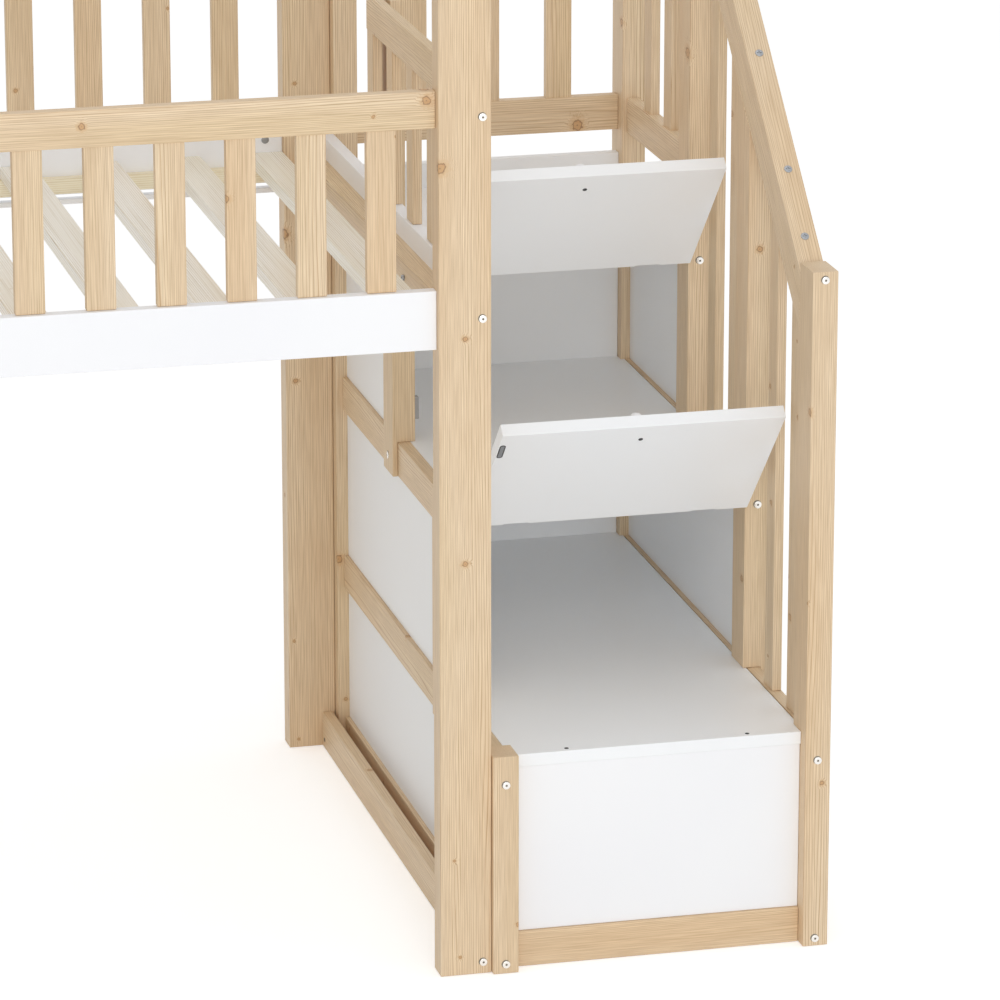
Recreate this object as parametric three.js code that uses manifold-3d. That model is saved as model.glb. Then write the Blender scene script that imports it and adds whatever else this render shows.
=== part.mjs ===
// House loft bed: a raised slatted bed in a gabled frame, a stair with two storage steps at its
// right end and a slide at its left front. Millimetres, +Z up, -Y towards the room, +X to the stair.
import * as THREE from "three";
import { mergeVertices } from "three/addons/utils/BufferGeometryUtils.js";
import Module from "manifold-3d";

const wasm = await Module();
wasm.setup();

const degree = Math.PI / 180;
const fitGap = 0.3; // clearance wherever two pieces meet
const jointDepth = 8; // how far a baluster is let into its rail
const overrun = 5; // how far a cutting tool passes the stock

// Bed posts and the roof over them
const postWidth = 66;
const postDepth = 34;
const bedDepth = 951;
const mattressLength = 2000;
const mattressSlack = 10;
const eaveHeight = 1600; // underside of the rafters at the outer face of a post
const roofPitch = 40 * degree;
const rafterDepth = 50;
const rafterThickness = 34;
const eaveOverhang = 60;
const ridgeHeight = 58;
const ridgeThickness = 34;
const ridgeDrop = 32; // top of the ridge beam below the peak of the rafters

// White boards round the mattress
const boardThickness = 16.6;
const boardHeight = 74.5;
const boardTop = 893;
const boardSetback = 10.6; // behind the front face of the posts
const endInset = 4.2; // end pieces behind the outer face of the posts
const tieBarHeight = 6.5;
const tieBarDrop = 7.5; // below the rear board

// Slats and the ledgers under them
const ledgerHeight = 22;
const ledgerDepth = 14.6;
const ledgerTop = 844.5;
const slatWidth = 46;
const slatThickness = 18;
const slatPitch = 115;
const slatSeat = 0.5; // a slat's screws pull it this far into the ledgers
const endLedgerWidth = 24.5;
const endLedgerRise = 1.5; // above the slats
const endLedgerHeight = 42;

// Guards round the mattress
const guardTop = 1142;
const guardRailHeight = 46.3;
const guardRailThickness = 16.6;
const guardSetback = 15;
const balusterWidth = 36.5;
const frontBalusterPitch = 86.8;
const frontBalusterFirst = 49; // gap beside the right post
const rearBalusterPitch = 94;
const rearBalusterFirst = 60.1;
const balusterThickness = 12.5;
const slideOpening = 440;
const guardEndPostWidth = 33;
const endRailThickness = 14.4;
const endBalusterDepth = 34;
const endBalusterPitch = 112.5;
const endGuardReach = 605.5; // far end of the right end guard, where the stair comes in
const floorRailHeight = 50;

// Stair: corner posts, stiles, rails and treads
const stairWidth = 441.4;
const stairClearance = 0.6;
const cornerPostWidth = 33;
const stairFrontProud = 8; // in front of the bed posts
const shortPostDepth = 45;
const shortPostRise = 5.3; // above the first tread
const cornerPostDepth = 55;
const newelHeight = 891.5;
const firstRise = 284.7;
const rise = 258.3;
const going = 280.1;
const firstGoing = 284.7; // front of the newel to the front of the first stile
const stileWidth = 31;
const stileDepth = 54;
const stileRise = 5.3; // top of a left stile above the tread that it ends beside
const jambWidth = 19.1; // what is left of the second left stile above its shoulder
const sideRailHeight = 47;
const sideRailThickness = 17;
const sideRailInset = 9.4; // behind the outer faces of the corner posts
const sidePanelThickness = 5;
const treadThickness = 16.6;
const treadSetback = 20; // first tread behind the face of the newel
const frontPanelThickness = 12.6;
const frontPanelRecess = 4;
const rearPanelSetback = 17; // behind the front of the rear corner posts
const rearPanelRise = 34.5; // above the top tread
const rearPanelFoot = 20;
const stairGuardTop = 1387;
const landingRailRise = 66.4; // lower guard rails above the top tread
const landingRailHeight = 49;
const rearGuardSetback = 22;
const rearGuardBalusterPitch = 102.6;

// Handrail and its balusters
const handrailWidth = 32.5;
const handrailDepth = 58;
const handrailAngle = 42.1 * degree;
const handrailDrop = 11.3; // its start below the top of the newel
const stairBalusterThickness = 12.4;
const stairBalusterDepth = 36.5;
const stairBalusterInset = 1; // behind the outer face of the side rails
const stairBalusterFirst = 29.5; // gap behind the newel or stile
const stairBalusterPitch = 99.2;
const stairBalusterCount = 2;
const landingBalusterGap = 0.2963; // share of the landing guard's free length between two balusters

// Flap doors over the storage steps, shown open as in use
const flapThickness = 17.2;
const flapSideGap = 2.9;
const flapHeadGap = 2.8;
const flapFootGap = 1;
const flapOpening = 135 * degree;
const hingeProud = 3.9; // pin axis in front of the closed door
const hingeRise = 1.6; // pin axis above the closed door
const hingeRadius = 3.5;
const hingeLength = 35;
const hingeInset = 42;
const hingeLeaf = 1.5;
const hingeLeafMargin = 2;
const hingeSides = 12;
const knobInset = 32; // from the free edge
const knobStemRadius = 4.5;
const knobHeadRadius = 8.2;
const knobStemLength = 6.4;
const knobHeadLength = 14;
const knobEdge = 4.6;
const knobSides = 20;

// Slide
const slideRun = 1400; // from the bed's front to the end of the slide
const slideLip = 62; // flat stretch at the top, in front of the bed
const slideExitHeight = 46;
const slideExitLength = 260;
const slideTopRadius = 180;
const slideFootRadius = 420;
const slideBendSteps = 6;
const slideSideGap = 3;
const slideSideThickness = 16.6;
const slideSideAbove = 95;

// Derived places
const innerLength = mattressLength + mattressSlack;
const rightInner = -postWidth;
const leftInner = rightInner - innerLength;
const leftOuter = leftInner - postWidth;
const boardBottom = boardTop - boardHeight;
const frontBoard = [boardSetback, boardSetback + boardThickness];
const slatTop = ledgerTop - slatSeat + slatThickness;
const guardBottom = guardTop - guardRailHeight;
const guardDepthRange = [guardSetback, guardSetback + guardRailThickness];
const balusterSetback = guardSetback + (guardRailThickness - balusterThickness) / 2;
const endSpan = [postDepth + fitGap, bedDepth - postDepth - fitGap];
const stairLeft = stairClearance;
const stairRight = stairLeft + stairWidth;
const stairMiddle = (stairLeft + stairRight) / 2;
const stairFront = -stairFrontProud;
const clearLeft = stairLeft + cornerPostWidth;
const clearRight = stairRight - cornerPostWidth;
const rearPostFront = bedDepth - cornerPostDepth;
const rearPanelFront = rearPostFront + rearPanelSetback;
const treadTops = [0, 1, 2].map((step) => firstRise + step * rise);
const stileFronts = [stairFront, stairFront + firstGoing, stairFront + firstGoing + going];
const treadFronts = [stairFront + treadSetback, stileFronts[1], stileFronts[2]];
const stileBacks = stileFronts.map((front) => front + stileDepth);
const shortPostBack = stairFront + shortPostDepth;
const newelBack = stairFront + cornerPostDepth;
const leftRail = [stairLeft + sideRailInset, stairLeft + sideRailInset + sideRailThickness];
const rightRail = [stairRight - sideRailInset - sideRailThickness, stairRight - sideRailInset];
const stairBalusterX = [
  rightRail[1] - stairBalusterInset - stairBalusterThickness,
  rightRail[1] - stairBalusterInset,
];
const panelRecess = (sideRailThickness - sidePanelThickness) / 2;
const handrailSlope = Math.tan(handrailAngle);
const handrailStart = newelHeight - handrailDrop;
const handrailFall = handrailDepth / Math.cos(handrailAngle);
const landingRail = [
  treadTops[2] + landingRailRise,
  treadTops[2] + landingRailRise + landingRailHeight,
];
const slideFloor = boardTop + fitGap + boardThickness;

// Materials: natural pine, white painted board, pale slat wood, nickel and white laminate
const pine = new THREE.MeshStandardMaterial({ color: 0xe0c59a, roughness: 0.55, metalness: 0 });
const white = new THREE.MeshStandardMaterial({ color: 0xf2f2f2, roughness: 0.4, metalness: 0 });
const paleWood = new THREE.MeshStandardMaterial({ color: 0xd9cfb8, roughness: 0.7, metalness: 0 });
const nickel = new THREE.MeshStandardMaterial({ color: 0xc9c9cb, roughness: 0.3, metalness: 1 });
const laminate = new THREE.MeshStandardMaterial({ color: 0xf6f6f6, roughness: 0.2, metalness: 0 });

const bed = new THREE.Group();

// Gives a mesh its node's name.
function named(name, mesh) {
  mesh.name = name;
  return mesh;
}

// A box between low and high places along each axis.
function box(material, x, y, z) {
  const ranges = [x, y, z];
  const size = ranges.map(([low, high]) => high - low);
  const mesh = new THREE.Mesh(new THREE.BoxGeometry(...size), material);
  mesh.position.set(...ranges.map(([low, high]) => (low + high) / 2));
  return mesh;
}

// An outline drawn in two axes and pushed along the third, between two places.
function prism(material, outline, basis, origin, depth) {
  const shape = new THREE.Shape(outline.map(([u, v]) => new THREE.Vector2(u, v)));
  const geometry = new THREE.ExtrudeGeometry(shape, { depth, bevelEnabled: false });
  const mesh = new THREE.Mesh(geometry, material);
  mesh.quaternion.setFromRotationMatrix(new THREE.Matrix4().makeBasis(...basis));
  mesh.position.copy(origin);
  return mesh;
}

const axisX = new THREE.Vector3(1, 0, 0);
const axisY = new THREE.Vector3(0, 1, 0);
const axisZ = new THREE.Vector3(0, 0, 1);

// A side outline of (y, z) points, pushed along X.
function sidePrism(material, outline, [low, high]) {
  const origin = new THREE.Vector3(low, 0, 0);
  return prism(material, outline, [axisY, axisZ, axisX], origin, high - low);
}

// A plan outline of (x, y) points, pushed up along Z.
function planPrism(material, outline, [low, high]) {
  const origin = new THREE.Vector3(0, 0, low);
  return prism(material, outline, [axisX, axisY, axisZ], origin, high - low);
}

// A mesh as a closed solid in its own group's frame.
function solidOf(mesh) {
  mesh.updateMatrix();
  const source = mesh.geometry.index ? mesh.geometry.toNonIndexed() : mesh.geometry.clone();
  const bare = new THREE.BufferGeometry();
  bare.setAttribute("position", source.getAttribute("position"));
  const merged = mergeVertices(bare, 1e-4);
  merged.applyMatrix4(mesh.matrix);
  return new wasm.Manifold(
    new wasm.Mesh({
      numProp: 3,
      vertProperties: new Float32Array(merged.attributes.position.array),
      triVerts: new Uint32Array(merged.index.array),
    }),
  );
}

// A closed solid as a mesh.
function meshOf(solid, material) {
  const data = solid.getMesh();
  const geometry = new THREE.BufferGeometry();
  geometry.setAttribute("position", new THREE.BufferAttribute(data.vertProperties, 3));
  geometry.setIndex(new THREE.BufferAttribute(data.triVerts, 1));
  geometry.computeVertexNormals();
  return new THREE.Mesh(geometry, material);
}

// Pieces glued into one.
function joined(material, meshes) {
  const whole = meshes.map(solidOf).reduce((sum, next) => sum.add(next));
  return meshOf(whole, material);
}

// A piece with others cut away.
function cut(material, mesh, tools) {
  const rest = tools.map(solidOf).reduce((sum, next) => sum.subtract(next), solidOf(mesh));
  return meshOf(rest, material);
}

// The same range measured from the rear face of the bed.
function fromRear([low, high]) {
  return [bedDepth - high, bedDepth - low];
}

// The same range mirrored from the right end of the bed to its left end.
function atLeftEnd([low, high]) {
  return [leftOuter - high, leftOuter - low];
}

// Underside of the rafters over a place between the front and the rear of the bed.
function rafterUnderside(y) {
  return eaveHeight + Math.min(y, bedDepth - y) * Math.tan(roofPitch);
}

function bedPosts() {
  const front = [
    [0, 0],
    [postDepth, 0],
    [postDepth, rafterUnderside(postDepth) - fitGap],
    [0, rafterUnderside(0) - fitGap],
  ];
  const rear = front.map(([y, z]) => [bedDepth - y, z]).reverse();
  const right = [-postWidth, 0];
  const left = [leftOuter, leftInner];
  bed.add(named("bed_post_front_right", sidePrism(pine, front, right)));
  bed.add(named("bed_post_rear_right", sidePrism(pine, rear, right)));
  bed.add(named("bed_post_front_left", sidePrism(pine, front, left)));
  bed.add(named("bed_post_rear_left", sidePrism(pine, rear, left)));
}

function roof() {
  const middle = bedDepth / 2;
  const lift = rafterDepth / Math.cos(roofPitch);
  const eave = eaveHeight - eaveOverhang * Math.tan(roofPitch);
  const peak = rafterUnderside(middle);
  const gable = [
    [-eaveOverhang, eave],
    [middle, peak],
    [bedDepth + eaveOverhang, eave],
    [bedDepth + eaveOverhang, eave + lift],
    [middle, peak + lift],
    [-eaveOverhang, eave + lift],
  ];
  const inset = (postWidth - rafterThickness) / 2;
  const right = [-postWidth + inset, -inset];
  bed.add(named("roof_gable_right", sidePrism(pine, gable, right)));
  bed.add(named("roof_gable_left", sidePrism(pine, gable, atLeftEnd(right))));
  const ridge = box(
    pine,
    [leftInner - inset + fitGap, rightInner + inset - fitGap],
    [middle - ridgeThickness / 2, middle + ridgeThickness / 2],
    [peak + lift - ridgeDrop - ridgeHeight, peak + lift - ridgeDrop],
  );
  bed.add(named("roof_ridge", ridge));
}

function mattressBoards() {
  const length = [leftInner + fitGap, rightInner - fitGap];
  const height = [boardBottom, boardTop];
  bed.add(named("side_board_front", box(white, length, frontBoard, height)));
  bed.add(named("side_board_rear", box(white, length, fromRear(frontBoard), height)));
  const across = [-endInset - boardThickness, -endInset];
  const ledger = [across[0] - endLedgerWidth, across[0] + fitGap];
  const ledgerHigh = slatTop + endLedgerRise;
  const parts = (place) => [
    box(white, place(across), endSpan, height),
    box(white, place(ledger), endSpan, [ledgerHigh - endLedgerHeight, ledgerHigh]),
  ];
  bed.add(named("end_board_right", joined(white, parts((range) => range))));
  bed.add(named("end_board_left", joined(white, parts(atLeftEnd))));
  const barTop = boardBottom - tieBarDrop;
  const bar = box(white, length, fromRear(frontBoard), [barTop - tieBarHeight, barTop]);
  bed.add(named("tie_bar_rear", bar));
}

// Two ledgers with the slats screwed down across them.
function slatDeck() {
  const frontLedger = [frontBoard[1] + fitGap, frontBoard[1] + fitGap + ledgerDepth];
  const length = [leftInner + fitGap, rightInner - fitGap];
  const height = [ledgerTop - ledgerHeight, ledgerTop];
  const pieces = [
    box(paleWood, length, frontLedger, height),
    box(paleWood, length, fromRear(frontLedger), height),
  ];
  const reach = [frontLedger[0], bedDepth - frontLedger[0]];
  const count = Math.floor((innerLength - slatWidth) / slatPitch) + 1;
  for (let i = 0; i < count; i++) {
    const right = rightInner - fitGap - i * slatPitch;
    pieces.push(box(paleWood, [right - slatWidth, right], reach, [ledgerTop - slatSeat, slatTop]));
  }
  bed.add(named("slat_deck", joined(paleWood, pieces)));
}

// Flat upright strips between two rails, centred at each given place along X.
function upright(centre, width, y, z) {
  return box(pine, [centre - width / 2, centre + width / 2], y, z);
}

function frontGuard() {
  const left = leftInner + slideOpening;
  const height = [guardBottom, guardTop];
  const endPost = [left, left + guardEndPostWidth];
  const stripY = [balusterSetback, balusterSetback + balusterThickness];
  const stripZ = [boardTop + fitGap, guardBottom + jointDepth];
  const pieces = [
    box(pine, [left, rightInner - fitGap], guardDepthRange, height),
    box(pine, endPost, guardDepthRange, [boardTop + fitGap, guardBottom + jointDepth]),
  ];
  const room = rightInner - endPost[1] - frontBalusterFirst - balusterWidth;
  const count = Math.floor(room / frontBalusterPitch) + 1;
  for (let i = 0; i < count; i++) {
    const first = rightInner - frontBalusterFirst - balusterWidth / 2;
    pieces.push(upright(first - i * frontBalusterPitch, balusterWidth, stripY, stripZ));
  }
  bed.add(named("guard_front", joined(pine, pieces)));
}

function rearGuard() {
  const length = [leftInner + fitGap, rightInner - fitGap];
  const stripY = fromRear([balusterSetback, balusterSetback + balusterThickness]);
  const stripZ = [boardTop + fitGap, guardBottom + jointDepth];
  const pieces = [box(pine, length, fromRear(guardDepthRange), [guardBottom, guardTop])];
  const room = innerLength - rearBalusterFirst - balusterWidth - fitGap;
  const count = Math.floor(room / rearBalusterPitch) + 1;
  for (let i = 0; i < count; i++) {
    const first = rightInner - rearBalusterFirst - balusterWidth / 2;
    pieces.push(upright(first - i * rearBalusterPitch, balusterWidth, stripY, stripZ));
  }
  bed.add(named("guard_rear", joined(pine, pieces)));
}

// An end guard: a rail from the front post to a given reach, with balusters on the end board.
function endGuard(name, place, reach) {
  const across = [-endInset - endRailThickness, -endInset];
  const inset = (endRailThickness - balusterThickness) / 2;
  const stripX = place([across[0] + inset, across[1] - inset]);
  const stripZ = [boardTop + fitGap, guardBottom + jointDepth];
  const pieces = [box(pine, place(across), [endSpan[0], reach], [guardBottom, guardTop])];
  const count = Math.floor((reach - endSpan[0] - endBalusterDepth) / endBalusterPitch);
  for (let i = 0; i <= count; i++) {
    const back = reach - i * endBalusterPitch;
    if (back - endBalusterDepth > endSpan[0]) {
      pieces.push(box(pine, stripX, [back - endBalusterDepth, back], stripZ));
    }
  }
  bed.add(named(name, joined(pine, pieces)));
}

function floorRails() {
  const across = [-endInset - endRailThickness, -endInset];
  bed.add(named("floor_rail_right", box(pine, across, endSpan, [0, floorRailHeight])));
  bed.add(named("floor_rail_left", box(pine, atLeftEnd(across), endSpan, [0, floorRailHeight])));
}

function stairPosts() {
  const leftX = [stairLeft, clearLeft];
  const rightX = [clearRight, stairRight];
  const shortTop = treadTops[0] + shortPostRise;
  const rearY = [rearPostFront, bedDepth];
  bed.add(named("stair_post_front_left", box(pine, leftX, [stairFront, shortPostBack], [0, shortTop])));
  bed.add(named("stair_newel", box(pine, rightX, [stairFront, newelBack], [0, newelHeight])));
  bed.add(named("stair_post_rear_left", box(pine, leftX, rearY, [0, stairGuardTop])));
  bed.add(named("stair_post_rear_right", box(pine, rightX, rearY, [0, stairGuardTop])));
}

// Underside of the handrail at a place along Y.
function handrailUnderside(y) {
  return handrailStart - handrailFall + (y - newelBack) * handrailSlope;
}

// A stile stands on the side rail of its step and laps down over the rail's outer face.
function stile(name, side, step, top, shoulder = []) {
  const foot = treadTops[step - 1] + fitGap;
  const lapFoot = treadTops[step - 1] - sideRailHeight;
  const y = [stileFronts[step], stileBacks[step]];
  const onLeft = side === "left";
  const x = onLeft ? [clearLeft - stileWidth, clearLeft] : [clearRight, clearRight + stileWidth];
  const outer = onLeft ? leftRail[0] - fitGap : rightRail[1] + fitGap;
  const notchX = onLeft ? [outer, x[1] + overrun] : [x[0] - overrun, outer];
  const notch = box(pine, notchX, [y[0] - overrun, y[1] + overrun], [lapFoot - overrun, foot]);
  const outline = [
    [y[0], lapFoot],
    [y[1], lapFoot],
    [y[1], top(y[1])],
    [y[0], top(y[0])],
  ];
  bed.add(named(name, cut(pine, sidePrism(pine, outline, x), [notch, ...shoulder])));
}

function stiles() {
  stile("stair_stile_left_1", "left", 1, () => treadTops[1] + stileRise);
  // The second one goes on above the landing, thinner, as high as the end guard beside it.
  const jambRight = clearLeft - stileWidth + jambWidth;
  const across = [jambRight, clearLeft + overrun];
  const along = [stileFronts[2] - overrun, stileBacks[2] + overrun];
  const shoulder = box(pine, across, along, [treadTops[2] + stileRise, guardTop + overrun]);
  stile("stair_stile_left_2", "left", 2, () => guardTop, [shoulder]);
  stile("stair_stile_right_1", "right", 1, (y) => handrailUnderside(y) - fitGap);
  stile("stair_stile_right_2", "right", 2, () => stairGuardTop);
}

// Rails along both sides: one on the floor and one flush with each tread.
function sideRails() {
  const back = rearPostFront - fitGap;
  const tops = [sideRailHeight, ...treadTops];
  const leftFronts = [shortPostBack, shortPostBack, stileBacks[1], stileBacks[2]];
  const rightFronts = [newelBack, newelBack, stileBacks[1], stileBacks[2]];
  tops.forEach((top, level) => {
    const height = [top - sideRailHeight, top];
    const leftY = [leftFronts[level] + fitGap, back];
    const rightY = [rightFronts[level] + fitGap, back];
    bed.add(named("stair_rail_left_" + level, box(pine, leftRail, leftY, height)));
    bed.add(named("stair_rail_right_" + level, box(pine, rightRail, rightY, height)));
  });
}

// Thin white panels held between the side rails, one for each bay of each side.
function sidePanels() {
  const back = rearPostFront - fitGap;
  const bottoms = [sideRailHeight, treadTops[0], treadTops[1]];
  const leftX = [leftRail[0] + panelRecess, leftRail[1] - panelRecess];
  const rightX = [rightRail[0] + panelRecess, rightRail[1] - panelRecess];
  const leftFronts = [shortPostBack, stileBacks[1], stileBacks[2]];
  const rightFronts = [newelBack, stileBacks[1], stileBacks[2]];
  bottoms.forEach((bottom, bay) => {
    const height = [bottom + fitGap, treadTops[bay] - sideRailHeight - fitGap];
    const leftY = [leftFronts[bay] + fitGap, back];
    const rightY = [rightFronts[bay] + fitGap, back];
    bed.add(named("stair_panel_left_" + (bay + 1), box(white, leftX, leftY, height)));
    bed.add(named("stair_panel_right_" + (bay + 1), box(white, rightX, rightY, height)));
  });
}

// A tread fits between the posts at its front and rear and between the side rails elsewhere.
function tread(step) {
  const front = treadFronts[step];
  const leftNotch = (step ? stileBacks[step] : shortPostBack) + fitGap;
  const rightNotch = (step ? stileBacks[step] : newelBack) + fitGap;
  const narrow = [clearLeft + fitGap, clearRight - fitGap];
  const wide = [leftRail[1] + fitGap, rightRail[0] - fitGap];
  const rearNotch = rearPostFront - fitGap;
  const back = rearPanelFront - fitGap;
  const outline = [
    [narrow[0], front],
    [narrow[1], front],
    [narrow[1], rightNotch],
    [wide[1], rightNotch],
    [wide[1], rearNotch],
    [narrow[1], rearNotch],
    [narrow[1], back],
    [narrow[0], back],
    [narrow[0], rearNotch],
    [wide[0], rearNotch],
    [wide[0], leftNotch],
    [narrow[0], leftNotch],
  ];
  const height = [treadTops[step] - treadThickness, treadTops[step]];
  bed.add(named("stair_tread_" + (step + 1), planPrism(white, outline, height)));
}

function stairBoards() {
  const x = [clearLeft + fitGap, clearRight - fitGap];
  const front = treadFronts[0];
  const railBack = front + sideRailThickness;
  const panel = [front + frontPanelRecess, front + frontPanelRecess + frontPanelThickness];
  const under = treadTops[0] - treadThickness - fitGap;
  const rearTop = treadTops[2] + rearPanelRise;
  const rear = [rearPanelFront, rearPanelFront + boardThickness];
  bed.add(named("stair_front_rail", box(pine, x, [front, railBack], [0, sideRailHeight])));
  bed.add(named("stair_front_panel", box(white, x, panel, [sideRailHeight + fitGap, under])));
  bed.add(named("stair_rear_panel", box(white, x, rear, [rearPanelFoot, rearTop])));
}

// The sloping handrail with the balusters that stand on the side rails under it.
function handrail() {
  const start = newelBack + fitGap;
  const end = stileFronts[2] - fitGap;
  const x = [clearRight + (stairRight - clearRight - handrailWidth) / 2, 0];
  x[1] = x[0] + handrailWidth;
  const top = (y) => handrailUnderside(y) + handrailFall;
  const outline = [
    [start, handrailUnderside(start)],
    [end, handrailUnderside(end)],
    [end, top(end)],
    [start, top(start)],
  ];
  const pieces = [sidePrism(pine, outline, x)];
  const backs = [newelBack, stileBacks[1]];
  backs.forEach((back, step) => {
    for (let i = 0; i < stairBalusterCount; i++) {
      const front = back + stairBalusterFirst + i * stairBalusterPitch;
      const y = [front, front + stairBalusterDepth];
      const z = [treadTops[step] + fitGap, handrailUnderside(front) + jointDepth];
      pieces.push(box(pine, stairBalusterX, y, z));
    }
  });
  bed.add(named("handrail", joined(pine, pieces)));
}

// Guard between the top stile and the rear post, beside the landing.
function landingGuard() {
  const y = [stileBacks[2] + fitGap, rearPostFront - fitGap];
  const topRail = [stairGuardTop - landingRailHeight, stairGuardTop];
  const stripZ = [landingRail[1] - jointDepth, topRail[0] + jointDepth];
  const pieces = [box(pine, rightRail, y, landingRail), box(pine, rightRail, y, topRail)];
  const spare = y[1] - y[0] - stairBalusterCount * stairBalusterDepth;
  const gap = spare * landingBalusterGap;
  const span = stairBalusterCount * (stairBalusterDepth + gap) - gap;
  for (let i = 0; i < stairBalusterCount; i++) {
    const front = (y[0] + y[1] - span) / 2 + i * (stairBalusterDepth + gap);
    pieces.push(box(pine, stairBalusterX, [front, front + stairBalusterDepth], stripZ));
  }
  bed.add(named("landing_guard_right", joined(pine, pieces)));
}

// Guard across the back of the landing.
function landingRearGuard() {
  const x = [clearLeft + fitGap, clearRight - fitGap];
  const front = rearPostFront + rearGuardSetback;
  const y = [front, front + guardRailThickness];
  const inset = (guardRailThickness - balusterThickness) / 2;
  const stripY = [y[0] + inset, y[1] - inset];
  const topRail = [stairGuardTop - landingRailHeight, stairGuardTop];
  const stripZ = [landingRail[1] - jointDepth, topRail[0] + jointDepth];
  const pieces = [box(pine, x, y, landingRail), box(pine, x, y, topRail)];
  for (const place of [-1, 0, 1]) {
    const centre = stairMiddle + place * rearGuardBalusterPitch;
    pieces.push(upright(centre, balusterWidth, stripY, stripZ));
  }
  bed.add(named("landing_guard_rear", joined(pine, pieces)));
}

// A turned knob with its foot on the closed door's outer face, pointing forwards.
function knob() {
  const length = knobStemLength + knobHeadLength;
  const profile = [
    [0, fitGap],
    [knobStemRadius, fitGap],
    [knobStemRadius, knobStemLength],
    [knobHeadRadius, knobStemLength + knobEdge],
    [knobHeadRadius, length - knobEdge],
    [knobHeadRadius - knobEdge, length],
    [0, length],
  ].map(([r, h]) => new THREE.Vector2(r, h));
  const mesh = new THREE.Mesh(new THREE.LatheGeometry(profile, knobSides), white);
  mesh.rotation.x = Math.PI;
  return mesh;
}

// A hinge's fixed half: its barrel and the leaf on the tread's front edge above the door.
function hinge(name, centre, axis, step) {
  const x = [centre - hingeLength / 2, centre + hingeLength / 2];
  const barrel = new THREE.Mesh(
    new THREE.CylinderGeometry(hingeRadius, hingeRadius, hingeLength, hingeSides),
    nickel,
  );
  barrel.rotation.z = Math.PI / 2;
  barrel.position.set(centre, axis.y, axis.z);
  const leafBack = treadFronts[step] - fitGap;
  const leaf = box(
    nickel,
    x,
    [leafBack - hingeLeaf, leafBack],
    [axis.z, treadTops[step] - hingeLeafMargin],
  );
  bed.add(named(name, joined(nickel, [barrel, leaf])));
}

// A storage step's flap door, hung under the front of the tread above it.
function flapDoor(step) {
  const label = ["lower", "upper"][step - 1];
  const head = treadTops[step] - treadThickness - flapHeadGap;
  const height = head - treadTops[step - 1] - flapFootGap;
  const axis = new THREE.Vector3(0, treadFronts[step] - hingeProud, head + hingeRise);
  const x = [clearLeft + flapSideGap, clearRight - flapSideGap];
  const door = new THREE.Group();
  door.position.copy(axis);
  door.rotation.x = -flapOpening;
  const panelY = [hingeProud, hingeProud + flapThickness];
  const panelZ = [-hingeRise - height, -hingeRise];
  door.add(named("flap_door_" + label, box(laminate, x, panelY, panelZ)));
  const handle = named("flap_knob_" + label, knob());
  handle.position.set(stairMiddle, hingeProud, panelZ[0] + knobInset);
  door.add(handle);
  bed.add(door);
  const reach = hingeInset + hingeLength / 2;
  hinge("flap_hinge_" + label + "_left", x[0] + reach, axis, step);
  hinge("flap_hinge_" + label + "_right", x[1] - reach, axis, step);
}

// The sliding surface as (y, z) points, from the back of its lip to the end of the run-out.
function slidePath() {
  const top = slideFloor;
  const foot = slideExitHeight;
  const start = frontBoard[1];
  const crest = -slideLip;
  const end = -slideRun;
  const knee = end + slideExitLength;
  const angle = Math.atan2(top - foot, crest - knee);
  const points = [[start, top]];
  const bend = (corner, radius, from, to) => {
    const reach = radius * Math.tan(Math.abs(to - from) / 2);
    const turn = Math.sign(to - from);
    const entryY = corner[0] + reach * Math.cos(from);
    const entryZ = corner[1] + reach * Math.sin(from);
    for (let i = 0; i <= slideBendSteps; i++) {
      const at = from + ((to - from) * i) / slideBendSteps;
      const y = entryY - turn * radius * (Math.sin(at) - Math.sin(from));
      const z = entryZ + turn * radius * (Math.cos(at) - Math.cos(from));
      points.push([y, z]);
    }
  };
  bend([crest, top], slideTopRadius, 0, angle);
  bend([knee, foot], slideFootRadius, angle, 0);
  points.push([end, foot]);
  return points;
}

// A strip that follows the slide's path, between two distances square to it.
function alongSlide(path, below, above) {
  const offset = (distance) =>
    path.map(([y, z], i) => {
      const before = path[Math.max(i - 1, 0)];
      const after = path[Math.min(i + 1, path.length - 1)];
      const run = Math.hypot(after[0] - before[0], after[1] - before[1]);
      const normalY = (after[1] - before[1]) / run;
      const normalZ = -(after[0] - before[0]) / run;
      return [y + normalY * distance, z + normalZ * distance];
    });
  return [...offset(-below), ...offset(above).reverse()].reverse();
}

// One chute: the sliding board let into a side board at each edge, hung on the bed's front board.
function slide() {
  const path = slidePath();
  const x = [leftInner + slideSideGap, leftInner + slideOpening - slideSideGap];
  const housing = slideSideThickness / 2;
  const leftX = [x[0], x[0] + slideSideThickness];
  const rightX = [x[1] - slideSideThickness, x[1]];
  const floorOutline = alongSlide(path, boardThickness, 0);
  // The side boards start in front of the bed's board and reach the floor at the run-out.
  const sidePath = [[boardSetback - fitGap, path[0][1]], ...path.slice(1)];
  const sideOutline = alongSlide(sidePath, slideExitHeight, slideSideAbove);
  const pieces = [
    sidePrism(laminate, floorOutline, [x[0] + housing, x[1] - housing]),
    sidePrism(laminate, sideOutline, leftX),
    sidePrism(laminate, sideOutline, rightX),
  ];
  bed.add(named("slide_chute", joined(laminate, pieces)));
}

bedPosts();
roof();
mattressBoards();
slatDeck();
frontGuard();
rearGuard();
endGuard("guard_end_right", (range) => range, endGuardReach);
endGuard("guard_end_left", atLeftEnd, endSpan[1]);
floorRails();
stairPosts();
stiles();
sideRails();
sidePanels();
[0, 1, 2].forEach(tread);
stairBoards();
handrail();
landingGuard();
landingRearGuard();
[1, 2].forEach(flapDoor);
slide();

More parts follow.
